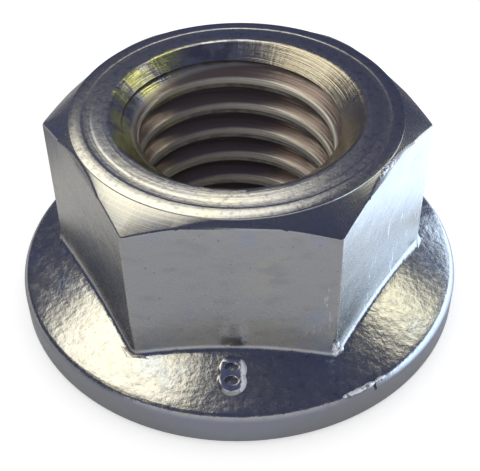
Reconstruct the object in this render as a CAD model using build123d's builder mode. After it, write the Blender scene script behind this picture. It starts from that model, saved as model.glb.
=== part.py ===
from build123d import *
from build123d.topology import SkipClean

import os
from math import ceil, cos, hypot, radians, sin, tan

# Serrated hexagon flange nut, M12 x 1.75, property class 8: one forged, turned and
# tapped piece of zinc-plated steel. Millimetres, +Z up along the thread. The origin
# is the centre of the bearing face, so the nut stands on its flange at z = 0.

# Wrench hexagon
across_flats = 17.8
nut_height = 12.0
corner_round = 0.3

# Crown: a turned cone takes the corners off, and each flat leans in below it
crown_angle = 30.0
lean_height = 0.39
lean_angle = 30.0

# Raised turned face on top, round the thread's mouth
face_margin = 0.25
face_step = 0.16
shoulder_width = 0.65
shoulder_drop = 0.08

# Flange
flange_overhang = 2.12
rim_height = 2.08
rim_top_break = 0.22
rim_bottom_break = 0.35
flange_slope = 22.0
foot_width = 0.25

# Thread
thread_diameter = 12.0
thread_pitch = 1.75
flank_angle = 30.0
crest_allowance = 0.1
mouth_margin = 0.6
mouth_angle = 45.0
mouth_lip_break = 0.1
seat_mouth_margin = 0.45

# Locking teeth pressed into the bearing face, in a ring between two plain bands
tooth_count = 48
tooth_inner_band = 1.35
tooth_outer_band = 0.65
tooth_width = 0.8
tooth_depth = 0.35

# Raised figure 8 on the flange, in front of one flat
figure_standoff = 1.3
figure_offset = 0.08
figure_width = 1.55
figure_height = 2.1
figure_relief = 0.22
figure_wall_run = 0.19
counter_width = 0.74
counter_height = 0.46
counter_spacing = 0.69

# Nick knocked into the rim's top edge
nick_angle = -54.5
nick_width = 0.16
nick_length = 0.5
nick_depth = 0.28

# Hexagon and flange
flat_radius = across_flats / 2
corner_radius = flat_radius / cos(radians(30))
flange_radius = corner_radius + flange_overhang
flange_rise = tan(radians(flange_slope))

# Top of the crown's cone, where the turned face's wall stands on it
face_radius = flat_radius - face_margin
flat_top_radius = face_radius - shoulder_width
crown_top = nut_height - face_step
crown_bottom = crown_top - (flange_radius - face_radius) * tan(radians(crown_angle))
lean_start = crown_top - lean_height

# Basic metric profile: the groove's floor is an eighth of the pitch wide, and the crest
# lies five eighths of the sharp V's height inside it, less the allowance
root_radius = thread_diameter / 2
crest_radius = root_radius - thread_pitch / 2 / tan(radians(flank_angle)) * 5 / 8 + crest_allowance
groove_floor = thread_pitch / 8
groove_overcut = 0.15
groove_reach = crest_radius - groove_overcut
groove_mouth = groove_floor + 2 * (root_radius - groove_reach) * tan(radians(flank_angle))
thread_start = -thread_pitch
thread_length = (ceil(nut_height / thread_pitch) + 2) * thread_pitch

# Countersinks at the thread's two ends, each down to just inside the crests
mouth_slope = tan(radians(mouth_angle))
mouth_radius = root_radius + mouth_margin
mouth_floor = nut_height - (mouth_radius - groove_reach) / mouth_slope
seat_mouth_radius = root_radius + seat_mouth_margin
seat_mouth_floor = (seat_mouth_radius - groove_reach) / mouth_slope

# Ring of teeth
tooth_inner_radius = seat_mouth_radius + tooth_inner_band
tooth_outer_radius = flange_radius - rim_bottom_break - tooth_outer_band


def cone_height(radius):
    # height of the flange's upper cone at this radius
    return rim_height + (flange_radius - radius) * flange_rise


def meets_flange(edge):
    # true where the hexagon's walls run into the flange's cone
    middle = edge @ 0.5
    radius = hypot(middle.X, middle.Y)
    return flat_radius - 0.01 < radius < corner_radius and abs(middle.Z - cone_height(radius)) < 0.01


with BuildPart() as tap:
    # what the tap takes out: a bar as wide as the crests, and a V groove with a flat floor,
    # carried up a right-hand helix past both ends of the nut, in whole turns
    with BuildSketch(Plane.XY.offset(thread_start)):
        Circle(crest_radius)
    extrude(amount=thread_length)
    with BuildLine() as helix:
        Helix(thread_pitch, thread_length, root_radius, center=(0, 0, thread_start))
    with BuildSketch(Plane.XZ) as groove:
        with BuildLine():
            Polyline(
                (groove_reach, thread_start - groove_mouth / 2),
                (root_radius, thread_start - groove_floor / 2),
                (root_radius, thread_start + groove_floor / 2),
                (groove_reach, thread_start + groove_mouth / 2),
                close=True,
            )
        make_face()
    sweep(sections=groove.sketch, path=helix.line, is_frenet=True)

# the tap in two halves, so that each half turn of crest keeps a wall of its own
tap_halves = []
for side in (Keep.TOP, Keep.BOTTOM):
    with BuildPart() as tap_half:
        add(tap.part)
        split(bisect_by=Plane.XZ, keep=side)
    tap_halves.append(tap_half.part)


with BuildPart() as tooth_gap:
    # the ramp between two teeth: steep against loosening, sloping the way the nut tightens
    with BuildSketch(Plane(origin=(tooth_inner_radius, 0, 0), x_dir=(0, 1, 0), z_dir=(1, 0, 0))):
        with BuildLine():
            Polyline((0, 0), (0, tooth_depth), (tooth_width, 0), close=True)
        make_face()
    extrude(amount=tooth_outer_radius - tooth_inner_radius)


with BuildPart() as figure:
    # two stacked loops with sloping walls, on the plane that touches the cone under them,
    # sunk into it far enough to follow its curve
    figure_radius = flat_radius + figure_standoff
    figure_sink = 0.12
    figure_body = figure_relief + figure_sink
    figure_foot = Plane(
        origin=(-figure_offset, -figure_radius, cone_height(figure_radius)),
        x_dir=(1, 0, 0),
        z_dir=(0, -sin(radians(flange_slope)), cos(radians(flange_slope))),
    ).offset(-figure_sink)
    loop_radius = figure_width / 2
    loop_shift = (figure_height - figure_width) / 2
    with Locations(figure_foot.offset(figure_body / 2)):
        with Locations((0, loop_shift), (0, -loop_shift)):
            Cone(loop_radius, loop_radius - figure_wall_run, figure_body)
    for counter_shift in (counter_spacing / 2, -counter_spacing / 2):
        with BuildSketch(figure_foot):
            with Locations((0, counter_shift)):
                Ellipse((counter_width - figure_wall_run) / 2, (counter_height - figure_wall_run) / 2)
        with BuildSketch(figure_foot.offset(figure_body)):
            with Locations((0, counter_shift)):
                Ellipse(counter_width / 2, counter_height / 2)
        loft(mode=Mode.SUBTRACT)


with BuildPart() as flange_nut:
    # wrench hexagon, corners on the X axis
    with BuildSketch():
        RegularPolygon(flat_radius, 6, major_radius=False)
    extrude(amount=lean_start)
    fillet(flange_nut.edges().filter_by(Axis.Z), corner_round)
    with BuildSketch(Plane.XY.offset(lean_start)):
        RegularPolygon(flat_radius, 6, major_radius=False)
    extrude(amount=lean_height, taper=lean_angle)

    # the turned cone of the crown
    with BuildSketch(Plane.XZ):
        with BuildLine():
            Polyline(
                (0, 0),
                (flange_radius, 0),
                (flange_radius, crown_bottom),
                (face_radius, crown_top),
                (0, crown_top),
                close=True,
            )
        make_face()
    revolve(mode=Mode.INTERSECT)

    # raised turned face with its sloping shoulder, on a core that reaches down to the flange
    with BuildSketch(Plane.XZ):
        with BuildLine():
            Polyline(
                (0, cone_height(flat_top_radius)),
                (flat_top_radius, cone_height(flat_top_radius)),
                (flat_top_radius, lean_start),
                (face_radius, crown_top),
                (face_radius, nut_height - shoulder_drop),
                (flat_top_radius, nut_height),
                (0, nut_height),
                close=True,
            )
        make_face()
    revolve()

    # flange: a cone down to a plain rim with both its edges broken
    with BuildSketch(Plane.XZ):
        with BuildLine():
            Polyline(
                (0, 0),
                (flange_radius - rim_bottom_break, 0),
                (flange_radius, rim_bottom_break),
                (flange_radius, rim_height - rim_top_break),
                (flange_radius - rim_top_break, cone_height(flange_radius - rim_top_break)),
                (flat_top_radius, cone_height(flat_top_radius)),
                (0, cone_height(flat_top_radius)),
                close=True,
            )
        make_face()
    revolve()

    # forged root between the hexagon and the flange
    chamfer(flange_nut.edges().filter_by(meets_flange), foot_width)

    # property-class figure
    add(figure.part)

    # nick across the rim's top edge
    nick_direction = Vector(cos(radians(nick_angle)), sin(radians(nick_angle)))
    nick_plane = Plane(
        origin=nick_direction * flange_radius + Vector(0, 0, rim_height),
        x_dir=nick_direction,
        z_dir=nick_direction.rotate(Axis.Z, -90),
    )
    with BuildSketch(nick_plane):
        Rectangle(nick_length, 2 * nick_depth, rotation=-45)
    extrude(amount=nick_width / 2, both=True, mode=Mode.SUBTRACT)

    # locking teeth
    with PolarLocations(0, tooth_count):
        add(tooth_gap.part, mode=Mode.SUBTRACT)

    with SkipClean():
        # tapped bore
        for tap_half in tap_halves:
            add(tap_half, mode=Mode.SUBTRACT)

        # countersinks at both its ends, the top one with its lip broken
        with BuildSketch(Plane.XZ):
            with BuildLine():
                Polyline(
                    (0, nut_height),
                    (0, mouth_floor),
                    (groove_reach, mouth_floor),
                    (mouth_radius - mouth_lip_break * mouth_slope, nut_height - mouth_lip_break),
                    (mouth_radius + mouth_lip_break, nut_height),
                    close=True,
                )
            make_face()
            with BuildLine():
                Polyline(
                    (0, 0),
                    (0, seat_mouth_floor),
                    (groove_reach, seat_mouth_floor),
                    (seat_mouth_radius, 0),
                    close=True,
                )
            make_face()
        revolve(mode=Mode.SUBTRACT)


flange_nut.part.label = "flange_nut"
os.makedirs("parts", exist_ok=True)
export_step(flange_nut.part, "parts/flange_nut.step")
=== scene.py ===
from math import cos, hypot, pi, radians, sin, tan

import bmesh
import bpy
from mathutils import Matrix, Vector


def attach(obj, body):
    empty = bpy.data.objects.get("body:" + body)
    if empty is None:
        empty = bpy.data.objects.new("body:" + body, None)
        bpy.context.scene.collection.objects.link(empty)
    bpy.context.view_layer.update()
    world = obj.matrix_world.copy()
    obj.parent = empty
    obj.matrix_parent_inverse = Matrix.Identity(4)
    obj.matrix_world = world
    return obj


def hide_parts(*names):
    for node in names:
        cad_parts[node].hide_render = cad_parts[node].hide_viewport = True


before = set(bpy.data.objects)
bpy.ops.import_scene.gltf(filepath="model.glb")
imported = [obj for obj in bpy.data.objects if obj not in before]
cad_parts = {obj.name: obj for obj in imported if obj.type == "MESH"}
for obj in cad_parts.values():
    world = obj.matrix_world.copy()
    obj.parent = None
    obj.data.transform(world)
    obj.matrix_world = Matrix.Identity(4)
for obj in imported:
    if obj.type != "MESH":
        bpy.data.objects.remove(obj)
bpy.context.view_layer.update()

bpy.ops.object.select_all(action="DESELECT")

# Camera: looks down on the front flat and one corner each side of it, standing close
# enough to the nut for the near edges to look clearly larger than the far ones.
camera_place = (0.00163, -0.04261, 0.04163)
camera_turn = radians(2.093)
camera_tilt = radians(47.89)
camera_roll = radians(-0.9715)
camera = bpy.data.objects.new("camera", bpy.data.cameras.new("camera"))
bpy.context.collection.objects.link(camera)
camera.data.sensor_width = 36
camera.data.lens = 74.92
camera.data.clip_start = 0.001
looking = Matrix.Rotation(camera_turn, 4, "Z") @ Matrix.Rotation(camera_tilt, 4, "X")
looking = looking @ Matrix.Rotation(camera_roll, 4, "Z")
camera.matrix_world = Matrix.Translation(camera_place) @ looking
bpy.context.scene.camera = camera
bpy.context.scene.view_settings.view_transform = "Standard"


# Hexagon: the wrench flats of a cold-forged steel blank, with softly rounded corners. A
# turned cone has taken the corners off the top, and each flat leans in just below it.
# The nut is modelled a thousand times over size, in millimetres, and brought down at the end.
millimetre = 0.001
sides = 6
across_flats = 17.8
nut_height = 12.0
hexagon_foot = 1.5
corner_round = 0.3
crown_angle = radians(30)
crown_top = 11.84
lean_height = 0.39
lean_angle = radians(30)
crown_edge_round = 0.09
face_radius = 8.65
flange_radius = 12.392
round_steps = 288

side_turn = 360 / sides
half_side = radians(side_turn / 2)
flat_radius = across_flats / 2
half_height = nut_height / 2
crown_fall = (flange_radius - face_radius) * tan(crown_angle)


def pick(kind, test):
    # selects, in edit mode, the faces that pass the test by their middle and normal, or the
    # edges that pass it by their middle and the normals beside them
    mesh = bmesh.from_edit_mesh(bpy.context.object.data)
    bpy.ops.mesh.select_mode(type=kind)
    bpy.ops.mesh.select_all(action="DESELECT")
    if kind == "FACE":
        for face in mesh.faces:
            face.select_set(test(face.calc_center_median(), face.normal))
    else:
        for edge in mesh.edges:
            middle = (edge.verts[0].co + edge.verts[1].co) / 2
            edge.select_set(test(middle, sorted(face.normal.z for face in edge.link_faces)))
    bmesh.update_edit_mesh(bpy.context.object.data)


def reach(radius, height):
    # carries the picked end face of a turned shape on to this radius and height
    mesh = bmesh.from_edit_mesh(bpy.context.object.data)
    rim = next(vertex.co for vertex in mesh.verts if vertex.select)
    ratio = radius / hypot(rim.x, rim.y)
    bpy.ops.mesh.extrude_region_move(TRANSFORM_OT_translate={"value": (0, 0, height - rim.z)})
    bpy.ops.transform.resize(value=(ratio, ratio, 1))


def upper(middle, normal):
    # true for faces that lie level and look up
    return normal.z > 0.99


def lower(middle, normal):
    # true for faces that lie level and look down
    return normal.z < -0.99


def turned(name, outline):
    # a turned shape: a bar between its first two sizes, carried on up through the others
    (radius, bottom), (first_radius, top) = outline[:2]
    bpy.ops.object.select_all(action="DESELECT")
    bpy.ops.mesh.primitive_cylinder_add(
        vertices=round_steps, radius=radius, depth=top - bottom, location=(0, 0, (top + bottom) / 2)
    )
    part = bpy.context.object
    part.name = name
    bpy.ops.object.transform_apply()
    bpy.ops.object.mode_set(mode="EDIT")
    pick("FACE", upper)
    ratio = first_radius / radius
    bpy.ops.transform.resize(value=(ratio, ratio, 1))
    for next_radius, height in outline[2:]:
        reach(next_radius, height)
    bpy.ops.object.mode_set(mode="OBJECT")
    return part


def combine(part, tool, operation):
    # cuts a part with another, or adds it, and takes that other one away
    bpy.context.view_layer.objects.active = part
    step = part.modifiers.new("combine", "BOOLEAN")
    step.operation = operation
    step.object = tool
    step.material_mode = "TRANSFER"
    bpy.ops.object.modifier_apply(modifier=step.name)
    bpy.data.objects.remove(tool)


class Shade:
    # wraps a socket of a material, so that its maths reads as plain expressions
    def __init__(self, tree, socket=None):
        self.tree = tree
        self.socket = socket

    def make(self, kind, settings=None, inputs=None, output=0):
        node = self.tree.nodes.new(kind)
        for name, value in (settings or {}).items():
            setattr(node, name, value)
        self.feed(node, inputs or {})
        return Shade(self.tree, node.outputs[output])

    def feed(self, node, inputs):
        # links each input of a node, or sets it where it is given a plain value
        for name, value in inputs.items():
            if isinstance(value, Shade):
                self.tree.links.new(value.socket, node.inputs[name])
            else:
                node.inputs[name].default_value = value

    def maths(self, operation, first, second=0.0):
        return self.make("ShaderNodeMath", {"operation": operation}, {0: first, 1: second})

    def vector_maths(self, operation, first, second=(0, 0, 0), output=0):
        kind = "ShaderNodeVectorMath"
        return self.make(kind, {"operation": operation}, {0: first, 1: second}, output)

    def axis(self, number):
        # the x, y or z of a vector, by its number
        return self.make("ShaderNodeSeparateXYZ", {}, {0: self}, number)

    def __add__(self, other):
        return self.maths("ADD", self, other)

    __radd__ = __add__

    def __sub__(self, other):
        return self.maths("SUBTRACT", self, other)

    def __rsub__(self, other):
        return self.maths("SUBTRACT", other, self)

    def __mul__(self, other):
        return self.maths("MULTIPLY", self, other)

    __rmul__ = __mul__

    def between(self, low, high):
        # 0 at low, 1 at high, smooth in between
        return self.make(
            "ShaderNodeMapRange",
            {"interpolation_type": "SMOOTHSTEP"},
            {"Value": self, "From Min": low, "From Max": high},
        )

    def noise(self, vector, scale, detail=2.0, roughness=0.5):
        return self.make(
            "ShaderNodeTexNoise",
            {},
            {"Vector": vector, "Scale": scale, "Detail": detail, "Roughness": roughness},
        )

    def mix(self, first, second):
        # first where this value is 0, second where it is 1
        return self.make(
            "ShaderNodeMix",
            {"data_type": "RGBA"},
            {"Factor": self, 6: first, 7: second},
            output=2,
        )


class Plating(Shade):
    # bright zinc plate: a metal of uneven grey with faint warm and blue patches
    def __init__(self, name):
        self.material = bpy.data.materials.new(name)
        self.material.use_nodes = True
        super().__init__(self.material.node_tree)
        # place is in millimetres, radius is measured from the thread's axis, and round is
        # the direction from that axis
        place = self.make("ShaderNodeTexCoord", output=3)
        self.place = self.make(
            "ShaderNodeVectorMath", {"operation": "SCALE"}, {0: place, "Scale": 1 / millimetre}
        )
        self.x, self.y, self.z = (self.place.axis(number) for number in range(3))
        level = self.stretch((1, 1, 0))
        self.radius = self.vector_maths("LENGTH", level, output=1)
        self.round = self.vector_maths("NORMALIZE", level)

    def stretch(self, scales):
        return self.vector_maths("MULTIPLY", self.place, scales)

    def tool_marks(self, scale, detail, roughness):
        # rings round the axis, left by a lathe tool
        rings = self.make("ShaderNodeCombineXYZ", {}, {0: self.radius * scale, 1: self.z * scale})
        return self.noise(self.vector_maths("ADD", rings, self.round), 1.0, detail, roughness)

    def patches(self):
        patch = self.noise(self.place, 0.35, 3.0)
        cool = patch.between(0.28, 0.44).mix(blue_zinc, plain_zinc)
        return patch.between(0.56, 0.72).mix(cool, warm_zinc)

    def finish(self, colour, roughness, height, depth, metallic=1.0):
        # height is the relief in the plate from 0 to 1, and depth its real depth in metres
        bump = self.make("ShaderNodeBump", {}, {"Height": height, "Distance": depth})
        shader = self.tree.nodes["Principled BSDF"]
        self.feed(
            shader,
            {"Base Color": colour, "Roughness": roughness, "Metallic": metallic, "Normal": bump},
        )
        return self.material


plain_zinc = (0.46, 0.45, 0.42, 1)
warm_zinc = (0.49, 0.475, 0.40, 1)
blue_zinc = (0.41, 0.43, 0.465, 1)
dark_pit = (0.12, 0.11, 0.10, 1)
bright_scratch = (0.95, 0.96, 0.97, 1)
smeared_zinc = (0.42, 0.405, 0.38, 1)

# rolled flats: a smooth skin with shallow long waves, fine pits and a few bright scratches
flats = Plating("zinc_on_wrench_flats")
grain = flats.noise(flats.place, 6.0, 5.0, 0.65)
waves = flats.noise(flats.place, 0.8, 3.0)
pits = flats.noise(flats.place, 6.0, 1.0).between(0.75, 0.81)
scuffed = flats.noise(flats.place, 0.45, 1.0).between(0.4, 0.55)
scuffed = scuffed * flats.x.between(3, 5) * (9 - flats.z).between(0.5, 2)
scratches = flats.noise(flats.stretch((5, 5, 0.55)), 1.0, 3.0, 0.6).between(0.6, 0.66)
scratches = scratches * scuffed * grain.between(0.4, 0.55)
smears = flats.noise(flats.stretch((1, 1, 2)), 0.7, 4.0)
flats_tone = smears.between(0.5, 0.7).mix(flats.patches(), smeared_zinc)
flats_tone = pits.mix(flats_tone, dark_pit)
flats_zinc = flats.finish(
    scratches.mix(flats_tone, bright_scratch),
    0.2 + grain * 0.16 + pits * 0.2,
    waves * 0.9 + grain * 0.08 - pits * 0.15 - scratches * 0.25,
    0.00004,
)

crown = turned(
    "crown",
    [(flange_radius, 0), (flange_radius, crown_top - crown_fall), (face_radius, crown_top)],
)

bpy.ops.object.select_all(action="DESELECT")
bpy.ops.mesh.primitive_cylinder_add(
    vertices=sides,
    radius=flat_radius / cos(half_side),
    depth=nut_height - hexagon_foot,
    location=(0, 0, (nut_height + hexagon_foot) / 2),
    rotation=(0, 0, half_side),
)
nut = bpy.context.object
nut.name = "forged_nut"
nut.data.materials.append(flats_zinc)
bpy.ops.object.transform_apply()
bpy.ops.object.mode_set(mode="EDIT")
pick("EDGE", lambda middle, tilts: -0.1 < tilts[0] and tilts[1] < 0.1)
bpy.ops.mesh.bevel(offset=corner_round * tan(half_side), segments=3)
for flat in range(sides):
    turn = radians(side_turn / 2 + side_turn * flat)
    towards = Vector((cos(turn), sin(turn), 0))
    bpy.ops.mesh.select_all(action="SELECT")
    bpy.ops.mesh.bisect(
        plane_co=towards * flat_radius + Vector((0, 0, crown_top - lean_height)),
        plane_no=towards * cos(lean_angle) + Vector((0, 0, sin(lean_angle))),
        use_fill=True,
        clear_outer=True,
    )
bpy.ops.object.mode_set(mode="OBJECT")

# the turned crown: fine rings left by the tool
turned_crown = Plating("zinc_on_turned_crown")
marks = turned_crown.tool_marks(9.0, 3.0, 0.6)
grain = turned_crown.noise(turned_crown.place, 6.0, 4.0, 0.6)
crown_zinc = turned_crown.finish(
    turned_crown.patches(),
    0.2 + grain * 0.12,
    marks * 0.7 + grain * 0.3,
    0.000006,
)
crown.data.materials.append(crown_zinc)
combine(nut, crown, "INTERSECT")
bpy.ops.object.mode_set(mode="EDIT")
pick(
    "EDGE",
    lambda middle, tilts: middle.z > half_height
    and tilts[0] < 0.6
    and abs(tilts[1] - cos(crown_angle)) < 0.01,
)
bpy.ops.mesh.bevel(offset=crown_edge_round, segments=3)
bpy.ops.object.mode_set(mode="OBJECT")


# Flange: a round skirt forged in one piece with the hexagon, a shallow cone falling to a
# plain rim whose two edges are rounded over. Its skin keeps the pebbled feel of the die.
flange_slope = radians(22)
rim_height = 2.08
rim_top_break = 0.22
rim_bottom_break = 0.35
rim_edge_round = 0.12
rim_inside = 11.0
cone_rings = (11.8, 11.4, 11.0, 10.6, 10.2, 9.8, 9.4, 8.0)
foot_outside = 10.6
foot_round = 0.26
crumb_grey = (0.36, 0.35, 0.33, 1)
rim_grey = (0.34, 0.345, 0.37, 1)

flange = turned(
    "flange",
    [
        (flange_radius - rim_bottom_break, 0),
        (flange_radius, rim_bottom_break),
        (flange_radius, rim_height - rim_top_break),
        (flange_radius - rim_top_break, rim_height + rim_top_break * tan(flange_slope)),
        *(
            (radius, rim_height + (flange_radius - radius) * tan(flange_slope))
            for radius in cone_rings
        ),
    ],
)
bpy.ops.object.mode_set(mode="EDIT")
pick(
    "EDGE",
    lambda middle, tilts: hypot(middle.x, middle.y) > rim_inside and tilts[1] - tilts[0] > 0.05,
)
bpy.ops.mesh.bevel(offset=rim_edge_round, segments=4)
bpy.ops.object.mode_set(mode="OBJECT")

skin = Plating("zinc_on_forged_flange")
pebbles = skin.noise(skin.place, 2.6, 3.0, 0.55)
grain = skin.noise(skin.place, 7.0, 3.0, 0.6)
swells = skin.noise(skin.place, 0.5, 1.0)
on_top = skin.z.between(1.9, 2.1)
crumbs = skin.noise(skin.place, 3.0, 4.0, 0.6)
dull = skin.noise(skin.place, 2.0, 4.0, 0.7).between(0.4, 0.68)
flange_tone = crumbs.between(0.32, 0.44).mix(crumb_grey, skin.patches())
flange_tone = on_top.mix(rim_grey, flange_tone)
flange_zinc = skin.finish(
    flange_tone,
    0.14 + grain * 0.12 + dull * 0.09 + (1 - on_top) * 0.12,
    pebbles * (0.2 + on_top * 0.6) + swells * 0.9 + grain * 0.1,
    0.00003,
)
flange.data.materials.append(flange_zinc)
combine(nut, flange, "UNION")

# the root between the flats and the flange, rounded by the die
bpy.ops.object.mode_set(mode="EDIT")
pick(
    "EDGE",
    lambda middle, tilts: middle.z < half_height
    and hypot(middle.x, middle.y) < foot_outside
    and abs(tilts[0]) < 0.05
    and abs(tilts[-1] - cos(flange_slope)) < 0.01,
)
bpy.ops.mesh.bevel(offset=foot_round, segments=5)
bpy.ops.object.mode_set(mode="OBJECT")


# Turned face: a thin raised ring round the thread's mouth, faced on the lathe, with a
# step up from the crown and a shoulder that slopes up to the flat top.
shoulder_drop = 0.08
flat_top_radius = 8.0
face_dome = 0.03
tool_groove = ((7.9, 11.945), (7.55, 11.952), (7.42, 11.975), (6.95, 12.0))
shoulder_round = 0.02
above_crown = crown_top + 0.01
face_grey = (0.34, 0.335, 0.33, 1)

face = Plating("zinc_on_turned_face")
marks = face.tool_marks(5.0, 5.0, 0.7)
grain = face.noise(face.place, 4.0, 5.0, 0.65)
crumbs = face.noise(face.place, 3.2, 3.0, 0.6)
face_zinc = face.finish(
    crumbs.between(0.3, 0.5).mix(face_grey, face.patches()),
    0.14 + grain * 0.16,
    marks * 0.55 + grain * 0.45,
    0.000016,
)
nut.data.materials.append(face_zinc)
nut.active_material_index = len(nut.data.materials) - 1
bpy.ops.object.mode_set(mode="EDIT")
pick("FACE", lambda middle, normal: upper(middle, normal) and middle.z > half_height)
reach(face_radius, nut_height - shoulder_drop)
reach(flat_top_radius, nut_height - face_dome)
for radius, height in tool_groove:
    reach(radius, height)
pick("FACE", lambda middle, normal: middle.z > above_crown)
bpy.ops.object.material_slot_assign()
pick("EDGE", lambda middle, tilts: middle.z > above_crown and tilts[1] - tilts[0] > 0.001)
bpy.ops.mesh.bevel(offset=shoulder_round, segments=2)
bpy.ops.object.mode_set(mode="OBJECT")


# Tapped hole: a right-hand M12 x 1.75 thread cut through the blank, its crests left a
# little blunt by the tap, with a countersink at each end. The countersink's lip is rounded.
thread_pitch = 1.75
root_radius = 6.0
crest_radius = 5.153
root_flat = thread_pitch / 8
flank_slope = tan(radians(30))
crest_blunting = 0.07
root_blunting = 0.05
mouth_radius = 6.6
seat_mouth_radius = 6.45
lip_drop = 0.05
lip_width = 0.19
mouth_lip_round = 0.04
turns_cut = 11
turns_below = 2.5
steps_a_turn = 128
tool_overlap = 0.4
tool_overrun = 1
bare_grey = (0.30, 0.29, 0.29, 1)
# a painted warm reflection for the countersink's right side
painted_warm_reflection = (0.36, 0.325, 0.26, 1)
# a yellow-green chromate tint that also stands in for a painted green reflection
yellow_bloom_and_sheen = (0.58, 0.58, 0.27, 1)
# a painted shade for the deep part of the thread's grooves
painted_root_shade = (0.2, 0.155, 0.14, 1)
# the next two colours are the dark and pale streaks of a painted highlight on the thread's crests,
# and the one after them its dimmer painted tone on the left side
crest_brown = (0.32, 0.28, 0.23, 1)
painted_crest_shine = (1.0, 0.94, 0.8, 1)
painted_dim_crest = (0.48, 0.46, 0.43, 1)

bore = Plating("zinc_in_tapped_hole")
# rise and level place a point on the thread's profile, whichever turn it is on
turn = bore.z * (2 * pi / thread_pitch)
side_x, side_y = bore.round.axis(0), bore.round.axis(1)
rise = turn.maths("SINE", turn) * side_x - turn.maths("COSINE", turn) * side_y
level = turn.maths("COSINE", turn) * side_x + turn.maths("SINE", turn) * side_y
drawn = bore.make(
    "ShaderNodeCombineXYZ", {}, {0: rise * 5.0, 1: level * 5.0, 2: bore.radius * 5.0}
)
marks = bore.noise(bore.vector_maths("ADD", drawn, bore.round), 1.0, 3.0, 0.6)
grain = bore.noise(bore.place, 3.0, 5.0, 0.65)
above = bore.z.between(10.7, 11.0)
# painted light: this mask runs from the left side to the right side, where the light falls; on the
# right the crests get their full painted highlight and a wider bright band, on the left a dimmer
# painted tone
painted_light_right = bore.x.between(-4, 4)
# painted shade: the deep part of each thread groove is darkened brown, its edge a little deeper on
# the right side
depth = (bore.radius + marks * 0.3 - painted_light_right * 0.1).between(5.2, 5.46) * (1 - above)
# painted highlight: the crests and the flank just under them, streaked brown and pale cream
painted_crest_highlight = (1 - depth) * (1 - above) * (0 - rise + marks * 0.8).between(0.1, 0.7)
chatter = bore.vector_maths("MULTIPLY", bore.round, (9, 9, 0))
chatter = bore.noise(chatter, 1.0, 3.0, 0.6) * above
# yellow-green chromate patches on the left side of the bore, placed there to stand in for a painted
# green reflection too
bloom_and_painted_sheen = (0 - bore.x).between(2.5, 4.0) * bore.noise(bore.place, 0.7, 3.0).between(0.42, 0.58)
stains = bore.noise(bore.place, 0.9, 4.0, 0.6)
bore_tone = stains.between(0.4, 0.55).mix(bare_grey, bore.patches())
# painted reflection: the countersink's right side is tinted warm
bore_tone = (above * bore.x.between(-1, 3)).mix(bore_tone, painted_warm_reflection)
bore_tone = bloom_and_painted_sheen.mix(bore_tone, yellow_bloom_and_sheen)
bore_tone = depth.mix(bore_tone, painted_root_shade)
painted_crest_tone = marks.between(0.45, 0.55).mix(crest_brown, painted_crest_shine)
painted_crest_tone = painted_light_right.mix(painted_dim_crest, painted_crest_tone)
bore_zinc = bore.finish(
    painted_crest_highlight.mix(bore_tone, painted_crest_tone),
    0.13 + grain * 0.18,
    marks * 0.6 + grain * 0.3 + chatter * 0.7,
    0.00004,
    # less metal where the crest highlight and the root shade are painted, so that their tones show
    # as if lit
    metallic=1 - painted_crest_highlight * 0.7 - depth * 0.3,
)

half_land = thread_pitch / 2 - root_flat / 2 - (root_radius - crest_radius) * flank_slope
groove = [
    (crest_radius, 0),
    (crest_radius, half_land - crest_blunting),
    (crest_radius + crest_blunting * 0.3, half_land - crest_blunting * 0.2),
    (crest_radius + crest_blunting, half_land + crest_blunting * flank_slope),
    (root_radius - root_blunting, thread_pitch / 2 - root_flat / 2 - root_blunting * flank_slope),
    (root_radius, thread_pitch / 2 - root_flat / 2 + root_blunting),
]
groove += [(radius, thread_pitch - height) for radius, height in reversed(groove)]
start = -turns_below * thread_pitch
bpy.ops.object.select_all(action="DESELECT")
bpy.ops.mesh.primitive_circle_add(vertices=len(groove), radius=1)
tap = bpy.context.object
tap.name = "tap"
bpy.ops.object.mode_set(mode="EDIT")
mesh = bmesh.from_edit_mesh(tap.data)
mesh.verts.ensure_lookup_table()
for vertex, (radius, height) in zip(mesh.verts, groove):
    vertex.co = (radius, 0, height + start)
for edge in mesh.edges:
    edge.select_set(abs(edge.verts[0].co.z - edge.verts[1].co.z) > thread_pitch * 0.9)
bmesh.update_edit_mesh(tap.data)
bpy.ops.mesh.select_mode(type="EDGE")
bpy.ops.mesh.delete(type="EDGE_FACE")
bpy.ops.object.mode_set(mode="OBJECT")
helix = tap.modifiers.new("helix", "SCREW")
helix.screw_offset = thread_pitch
helix.iterations = turns_cut
helix.steps = helix.render_steps = steps_a_turn
bpy.ops.object.modifier_apply(modifier=helix.name)
bpy.ops.object.mode_set(mode="EDIT")
bpy.ops.mesh.select_all(action="SELECT")
bpy.ops.mesh.remove_doubles(threshold=0.0005)
for height, way in ((-tool_overrun, -1), (nut_height + tool_overrun, 1)):
    bpy.ops.mesh.select_all(action="SELECT")
    bpy.ops.mesh.bisect(
        plane_co=(0, 0, height), plane_no=(0, 0, way), use_fill=True, clear_outer=True
    )
bpy.ops.mesh.select_all(action="SELECT")
bpy.ops.mesh.normals_make_consistent(inside=False)
bpy.ops.object.mode_set(mode="OBJECT")
tap.data.materials.append(bore_zinc)
combine(nut, tap, "DIFFERENCE")

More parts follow.
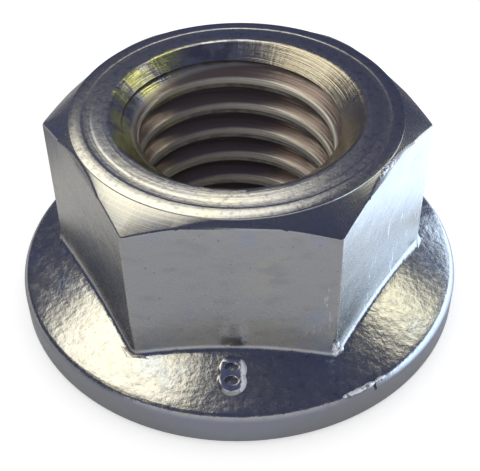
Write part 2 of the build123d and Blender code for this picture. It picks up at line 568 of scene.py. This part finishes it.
mouth = turned(
    "countersink",
    [
        (crest_radius - tool_overlap, nut_height - mouth_radius + crest_radius - tool_overlap),
        (mouth_radius - lip_drop, nut_height - lip_drop),
        (mouth_radius - lip_drop + 6 * lip_width, nut_height + 5 * lip_drop),
    ],
)
mouth.data.materials.append(bore_zinc)
combine(nut, mouth, "DIFFERENCE")
seat_mouth = turned(
    "countersink",
    [
        (seat_mouth_radius + tool_overrun, -tool_overrun),
        (crest_radius - tool_overlap, seat_mouth_radius - crest_radius + tool_overlap),
    ],
)
seat_mouth.data.materials.append(bore_zinc)
combine(nut, seat_mouth, "DIFFERENCE")
bpy.ops.object.mode_set(mode="EDIT")
pick(
    "EDGE",
    lambda middle, tilts: abs(middle.z - nut_height + lip_drop) < 0.01
    and abs(hypot(middle.x, middle.y) - mouth_radius + lip_drop) < 0.02
    and tilts[1] - tilts[0] > 0.1,
)
bpy.ops.mesh.bevel(offset=mouth_lip_round, segments=3)
bpy.ops.object.mode_set(mode="OBJECT")


# Class figure: a generic 8 that the die raises on the flange in front of one flat, two
# stacked loops with sloping walls and softened tops.
figure_place = (-0.08, -10.27)
figure_relief = 0.34
figure_sink = 0.12
loop_foot_radius = 0.80
loop_top_radius = 0.61
loop_shift = 0.30
counter_shift = 0.35
counter_foot = (0.58, 0.32)
counter_top = (0.76, 0.48)
figure_round = 0.16
counter_round = 0.06
dull_die = (0.6, 0.6, 0.6, 1)
bright_die = (0.8, 0.79, 0.76, 1)
# the colour of a painted highlight
painted_highlight_white = (0.95, 0.97, 1, 1)

polish = Plating("zinc_on_class_figure")
grain = polish.noise(polish.place, 3.0, 3.0, 0.6)
# its right side and its back are painted pale and less mirror-like: a painted highlight down the
# right side, and painted light on the back wall so that its reflection in the front flat is not
# dark
painted_pale_sides = polish.maths(
    "MAXIMUM", (polish.x + grain * 0.3).between(0.47, 0.57), polish.y.between(-9.42, -9.34)
)
figure_zinc = polish.finish(
    painted_pale_sides.mix(grain.between(0.3, 0.7).mix(dull_die, bright_die), painted_highlight_white),
    0.06 + grain * 0.1 + painted_pale_sides * 0.3,
    grain,
    0.000006,
    metallic=1 - painted_pale_sides * 0.6,
)

figure_tall = figure_relief + figure_sink
bpy.ops.object.select_all(action="DESELECT")
for loop in (loop_shift, -loop_shift):
    bpy.ops.mesh.primitive_cone_add(
        vertices=48,
        radius1=loop_foot_radius,
        radius2=loop_top_radius,
        depth=figure_tall,
        location=(0, loop, figure_tall / 2),
    )
    bpy.ops.object.transform_apply()
    if loop == loop_shift:
        figure = bpy.context.object
        figure.name = "class_figure"
    else:
        combine(figure, bpy.context.object, "UNION")
for hole in (counter_shift, -counter_shift):
    bpy.ops.mesh.primitive_cone_add(
        vertices=32,
        radius1=0.5,
        radius2=0.5,
        depth=figure_tall * 1.2,
        location=(0, 0, figure_tall / 2),
    )
    counter = bpy.context.object
    bpy.ops.object.transform_apply()
    bpy.ops.object.mode_set(mode="EDIT")
    pick("FACE", lower)
    bpy.ops.transform.resize(value=(*counter_foot, 1))
    pick("FACE", upper)
    bpy.ops.transform.resize(value=(*counter_top, 1))
    bpy.ops.mesh.select_all(action="SELECT")
    bpy.ops.transform.translate(value=(0, hole, 0))
    bpy.ops.object.mode_set(mode="OBJECT")
    combine(figure, counter, "DIFFERENCE")
bpy.ops.object.select_all(action="DESELECT")
figure.select_set(True)
bpy.context.view_layer.objects.active = figure
bpy.ops.object.mode_set(mode="EDIT")
bpy.ops.mesh.select_all(action="SELECT")
bpy.ops.mesh.remove_doubles(threshold=0.003)
# the rims of the two holes are rounded first, then the figure's outer edge
for outer, width in ((False, counter_round), (True, figure_round)):
    pick(
        "EDGE",
        lambda middle, tilts: middle.z > figure_tall - 0.001
        and tilts[0] < 0.95
        and (hypot(middle.x, abs(middle.y) - loop_shift) > loop_top_radius * 0.9) == outer,
    )
    bpy.ops.mesh.bevel(offset=width, segments=3, clamp_overlap=True)
bpy.ops.object.mode_set(mode="OBJECT")
across, along = figure_place
figure.rotation_euler = (flange_slope, 0, 0)
figure.location = (
    across,
    along + figure_sink * sin(flange_slope),
    rim_height + (flange_radius + along) * tan(flange_slope) - figure_sink * cos(flange_slope),
)
bpy.ops.object.transform_apply()
figure.data.materials.clear()
figure.data.materials.append(figure_zinc)
combine(nut, figure, "UNION")


# Locking teeth: a ring of ratchet ramps pressed into the bearing face, steep against
# loosening, between two plain bands.
tooth_count = 48
tooth_inner_radius = 7.8
tooth_outer_radius = 11.397
tooth_width = 0.8
tooth_depth = 0.35
clear_below = 0.1

teeth_plate = Plating("zinc_on_locking_teeth")
grain = teeth_plate.noise(teeth_plate.place, 8.0, 4.0, 0.6)
teeth_zinc = teeth_plate.finish(teeth_plate.patches(), 0.24 + grain * 0.16, grain, 0.00001)
tooth_reach = tooth_outer_radius - tooth_inner_radius
bpy.ops.object.select_all(action="DESELECT")
bpy.ops.mesh.primitive_cube_add(
    size=1,
    location=(
        tooth_inner_radius + tooth_reach / 2,
        tooth_width / 2 + clear_below,
        (tooth_depth - clear_below) / 2,
    ),
    scale=(tooth_reach, tooth_width + 2 * clear_below, tooth_depth + clear_below),
)
gaps = bpy.context.object
gaps.name = "tooth_gaps"
bpy.ops.object.transform_apply()
bpy.ops.object.mode_set(mode="EDIT")
bpy.ops.mesh.select_all(action="SELECT")
bpy.ops.mesh.bisect(
    plane_co=(0, 0, tooth_depth),
    plane_no=(0, tooth_depth, tooth_width),
    use_fill=True,
    clear_outer=True,
)
bpy.ops.mesh.select_all(action="SELECT")
bpy.ops.mesh.spin(
    steps=tooth_count - 1,
    dupli=True,
    angle=2 * pi * (tooth_count - 1) / tooth_count,
    center=(0, 0, 0),
    axis=(0, 0, 1),
)
bpy.ops.mesh.select_all(action="SELECT")
bpy.ops.mesh.normals_make_consistent(inside=False)
bpy.ops.object.mode_set(mode="OBJECT")
gaps.data.materials.append(teeth_zinc)
combine(nut, gaps, "DIFFERENCE")


# Knocks: a nick across the rim's top edge with the metal it pushed up beside it, and a few
# nodules where the plating built up on a corner.
nick_angle = radians(-54.5)
nick_size = (0.5, 0.16, 0.56)
burr_angles = (-62.0, -60.7, -59.2, -57.6, -56.2, -52.6)
burr_sizes = (0.12, 0.15, 0.17, 0.14, 0.17, 0.15)
burr_inset = 0.17
burr_rise = 0.06
burr_along = 2.4
burr_up = 0.9
lump_across = 0.8
unevenness = 0.05
burr_shade = (0.25, 0.26, 0.3, 1)
burr_shine = (0.9, 0.93, 0.97, 1)
# radius, angle and height of each nodule's middle, its size, and its stretch along and up
nodules = (
    (10.28, -60.0, 3.50, 0.24, 0.9, 2.6),
    (10.36, -59.4, 3.42, 0.26, 1.2, 0.9),
    (10.40, -60.6, 3.40, 0.24, 1.0, 0.8),
    (8.68, -33.2, 11.78, 0.20, 1.6, 0.8),
    (8.70, -30.4, 11.74, 0.22, 1.3, 0.8),
    (8.74, -27.8, 11.68, 0.15, 1.6, 0.8),
    (8.73, -36.4, 11.65, 0.17, 2.0, 0.8),
)

burr = Plating("zinc_on_burrs")
grain = burr.noise(burr.place, 5.0, 3.0, 0.6)
burr_zinc = burr.finish(
    grain.between(0.4, 0.5).mix(burr_shade, burr_shine),
    0.25 + grain * 0.2,
    grain,
    0.00008,
    metallic=0.5,
)

bpy.ops.object.select_all(action="DESELECT")
bpy.ops.mesh.primitive_cube_add(
    size=1,
    location=(flange_radius * cos(nick_angle), flange_radius * sin(nick_angle), rim_height),
    rotation=(0, radians(45), nick_angle),
    scale=nick_size,
)
nick = bpy.context.object
bpy.ops.object.transform_apply()
nick.data.materials.append(flange_zinc)
combine(nut, nick, "DIFFERENCE")
lumps = [
    (flange_radius - burr_inset, angle, rim_height + burr_rise, size, burr_along, burr_up)
    for angle, size in zip(burr_angles, burr_sizes)
]
lumps += nodules
for number, (radius, angle, height, size, along, up) in enumerate(lumps):
    bpy.ops.object.select_all(action="DESELECT")
    bpy.ops.mesh.primitive_ico_sphere_add(
        subdivisions=3,
        radius=size,
        location=(radius * cos(radians(angle)), radius * sin(radians(angle)), height),
        rotation=(0, 0, radians(angle)),
        scale=(lump_across, along, up),
    )
    lump = bpy.context.object
    bpy.ops.object.transform_apply()
    bpy.ops.object.mode_set(mode="EDIT")
    bpy.ops.mesh.select_all(action="SELECT")
    bpy.ops.transform.vertex_random(offset=size * unevenness, seed=number)
    bpy.ops.object.mode_set(mode="OBJECT")
    lump.data.materials.append(burr_zinc)
    combine(nut, lump, "UNION")


# Finished nut: brought down to its real size, shaded smooth with its sharp edges kept, and
# set where the CAD has it. It is one forging, so it is one piece.
sharp_edge = radians(35)

bpy.ops.object.select_all(action="DESELECT")
nut.select_set(True)
bpy.context.view_layer.objects.active = nut
bpy.ops.object.mode_set(mode="EDIT")
bpy.ops.mesh.select_all(action="SELECT")
bpy.ops.transform.resize(value=(millimetre, millimetre, millimetre), center_override=(0, 0, 0))
bpy.ops.object.mode_set(mode="OBJECT")
bpy.ops.object.shade_smooth_by_angle(angle=sharp_edge)
even = nut.modifiers.new("even", "WEIGHTED_NORMAL")
even.keep_sharp = True
bpy.ops.object.modifier_apply(modifier=even.name)
nut.name = "serrated_flange_nut"
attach(nut, "root")
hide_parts("flange_nut")


# Table: a plain pale sheet that fades into a white background and keeps the nut's shadow.
# From below it can be seen through, and it is cut away where the bearing face stands on it.
table_drop = 0.00002
table_grey = (0.75, 0.75, 0.75, 1)
table_glow = (0.5, 0.5, 0.5, 1)
black = (0, 0, 0, 1)

bpy.ops.mesh.primitive_plane_add(size=4, location=(0, 0, -table_drop))
table = bpy.context.object
table.name = "table"
paper = bpy.data.materials.new("pale_table")
paper.use_nodes = True
sheet = Shade(paper.node_tree)
sheet_shader = paper.node_tree.nodes["Principled BSDF"]
sheet_shader.inputs["Base Color"].default_value = table_grey
sheet_shader.inputs["Roughness"].default_value = 0.9
sheet_shader.inputs["Specular IOR Level"].default_value = 0.0
sheet_shader.inputs["Emission Strength"].default_value = 1.0
seen = sheet.make("ShaderNodeLightPath", output="Is Camera Ray")
seen = seen.maths("MAXIMUM", seen, sheet.make("ShaderNodeLightPath", output="Is Transmission Ray"))
glow = seen.mix(black, table_glow)
sheet.tree.links.new(glow.socket, sheet_shader.inputs["Emission Color"])
place = sheet.make("ShaderNodeTexCoord", output=3)
radius = sheet.vector_maths("LENGTH", place, output=1)
cut_out = radius.between(0.0051, 0.0052) * (1 - radius.between(0.0117, 0.0118))
above = (1 - sheet.make("ShaderNodeNewGeometry", output="Backfacing")) * (1 - cut_out)
sheet.tree.links.new(above.socket, sheet_shader.inputs["Alpha"])
table.data.materials.append(paper)


# Studio: a white room, with soft cards and dark flags round the nut as for any bright metal,
# so that its faces tell apart. They show only in the metal.
room_white = (0.85, 0.85, 0.85, 1)
back_white = (1, 1, 1, 1)
night_blue = (0.08, 0.092, 0.175)
half_way_up = 0.006
tent_radius = 0.16

world = bpy.data.worlds.new("studio")
bpy.context.scene.world = world
world.use_nodes = True
room = Shade(world.node_tree)
seen = room.make("ShaderNodeLightPath", output="Is Camera Ray")
for ray in ("Is Glossy Ray", "Is Transmission Ray"):
    seen = room.maths("MAXIMUM", seen, room.make("ShaderNodeLightPath", output=ray))
walls = seen.mix(room_white, back_white)
world.node_tree.links.new(walls.socket, world.node_tree.nodes["Background"].inputs["Color"])


def light_up(board, colour, softness=None):
    # gives a board its glow, which fades out at its edges if it has a softness, and lets
    # it show in the metal alone
    cloth = bpy.data.materials.new(board.name)
    cloth.use_nodes = True
    cloth.node_tree.nodes.clear()
    lit = Shade(cloth.node_tree)
    surface = lit.make("ShaderNodeEmission", {}, {"Color": (*colour, 1)})
    if softness is not None:
        place = lit.make("ShaderNodeTexCoord", output=3)
        fade = 1
        for side in range(2):
            across = place.axis(side)
            fade = fade * (1 - across.maths("ABSOLUTE", across).between(0.5 - softness / 2, 0.5))
        clear = lit.make("ShaderNodeBsdfTransparent")
        surface = lit.make("ShaderNodeMixShader", {}, {0: fade, 1: clear, 2: surface})
    output = cloth.node_tree.nodes.new("ShaderNodeOutputMaterial")
    cloth.node_tree.links.new(surface.socket, output.inputs["Surface"])
    board.data.materials.append(cloth)
    board.visible_camera = False
    board.visible_shadow = False
    board.visible_diffuse = False
    board.visible_transmission = False


def card(name, middle, width, height, colour, softness, towards=(0, 0, half_way_up)):
    # a card turned towards the nut
    facing = (Vector(towards) - Vector(middle)).to_track_quat("Z", "Y").to_matrix().to_4x4()
    bpy.ops.mesh.primitive_plane_add(size=1)
    board = bpy.context.object
    board.name = name
    shape = Matrix.Diagonal((width, height, 1, 1))
    board.matrix_world = Matrix.Translation(middle) @ facing @ shape
    light_up(board, colour, softness)


card("window", (-0.045, 0.025, 0.094), 0.115, 0.098, (2.75, 2.67, 2.3), 0.4)
card("back_strip", (-0.003, 0.047, 0.090), 0.040, 0.045, (2.4, 2.35, 2.2), 0.4)
card("gold_card", (0.0655, 0.036, 0.074), 0.042, 0.042, (2.75, 2.7, 2.15), 0.6)
card("cream_card", (-0.068, -0.039, 0.068), 0.045, 0.035, (1.5, 1.35, 1.0), 0.6)
card("side_card", (0.055, 0.027, 0.012), 0.024, 0.022, (2.6, 2.7, 2.9), 0.3)
card("right_card", (0.0245, 0.002, 0.0002), 0.021, 0.034, (1.7, 2.1, 2.7), 0.25, (0.0245, 0.002, 1))
card("right_wall", (0.022, 0.002, 0.004), 0.04, 0.010, (2.0, 2.5, 3.3), 0.3, (0, 0.002, 0.004))
card("left_flag", (-0.020, 0.018, 0.0003), 0.020, 0.026, (0.2, 0.2, 0.24), 0.4, (-0.020, 0.018, 1))
card("back_flag", (0.042, 0.054, 0.0003), 0.08, 0.08, night_blue, 0.2, (0.042, 0.054, 1))
card("front_card", (0, -0.028, 0.0002), 0.05, 0.032, (0.52, 0.54, 0.62), 0.1, (0, -0.028, 1))
card("front_wall", (0, -0.024, 0.004), 0.05, 0.010, (0.75, 0.77, 0.85), 0.3, (0, 0, 0.004))
card("under_card", (0, 0, -0.1), 0.26, 0.26, (1.1, 1.1, 1.1), 0.9)

# the dark tent behind the cards
bpy.ops.mesh.primitive_uv_sphere_add(
    segments=48, ring_count=24, radius=tent_radius, location=(0, 0, half_way_up)
)
tent = bpy.context.object
tent.name = "tent"
light_up(tent, night_blue)
